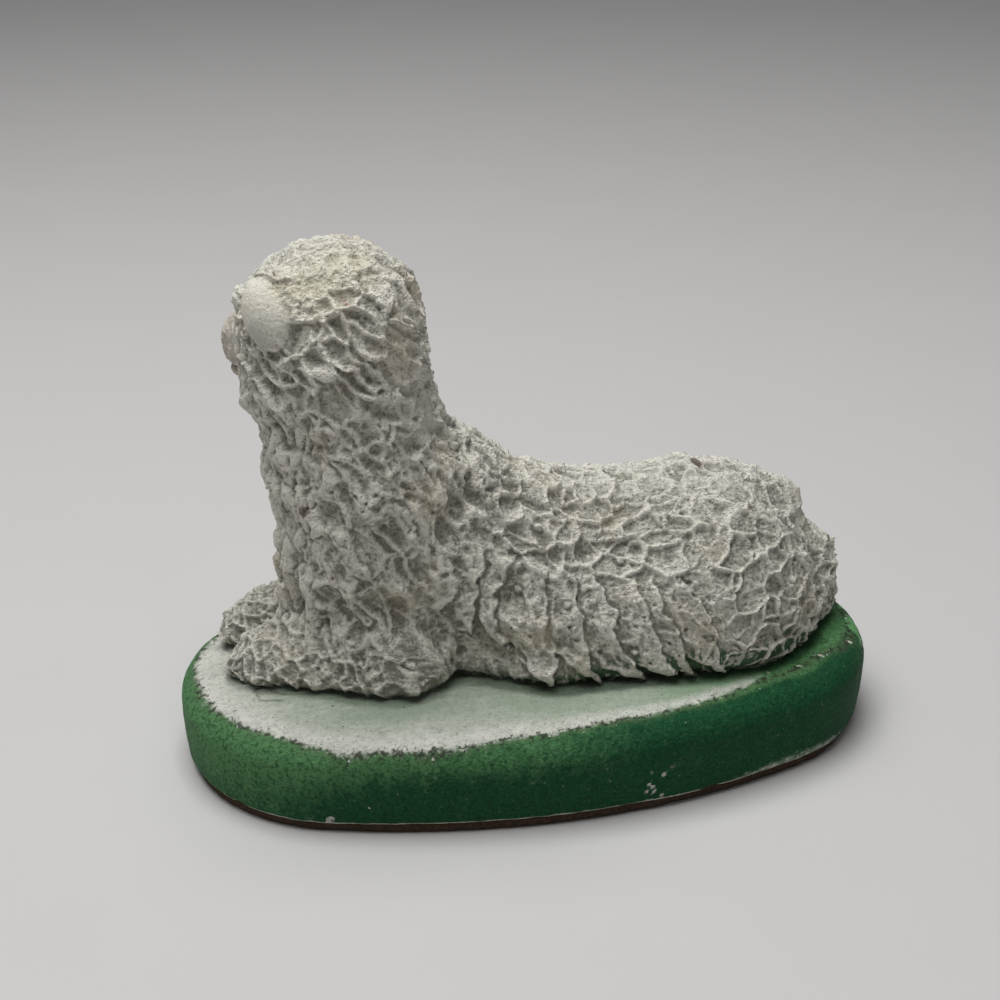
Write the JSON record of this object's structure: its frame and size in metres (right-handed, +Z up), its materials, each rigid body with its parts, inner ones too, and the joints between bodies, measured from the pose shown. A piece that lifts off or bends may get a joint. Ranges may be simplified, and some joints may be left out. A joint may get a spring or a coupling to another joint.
{
  "type": "sheep figurine",
  "caption": "Reclining sheep cast in plaster with a deeply curled fleece, its head turned aside, on an oval green-painted plinth with a felt pad underneath.",
  "frame": {"origin": "middle of the underside, on the surface that the figurine stands on", "axes": "+X along the plinth towards the rump, +Y towards the sheep's right side, +Z up"},
  "size_m": [0.1, 0.057, 0.0745],
  "materials": {
    "felt": "matt felt",
    "painted_plaster": "thin green paint, worn to bare plaster at the shoulder",
    "fleece_plaster": "matt unglazed plaster",
    "face_plaster": "matt plaster with a trace of pinkish paint"
  },
  "bodies": {
    "root": {"base_pad": "felt", "plinth": "painted_plaster", "barrel": "fleece_plaster", "left_haunch": "fleece_plaster", "right_haunch": "fleece_plaster", "tail": "fleece_plaster", "neck": "fleece_plaster", "left_foreleg": "fleece_plaster", "right_foreleg": "fleece_plaster", "head": "fleece_plaster", "left_ear": "fleece_plaster", "right_ear": "fleece_plaster", "muzzle": "face_plaster"}
  },
  "joints": []
}
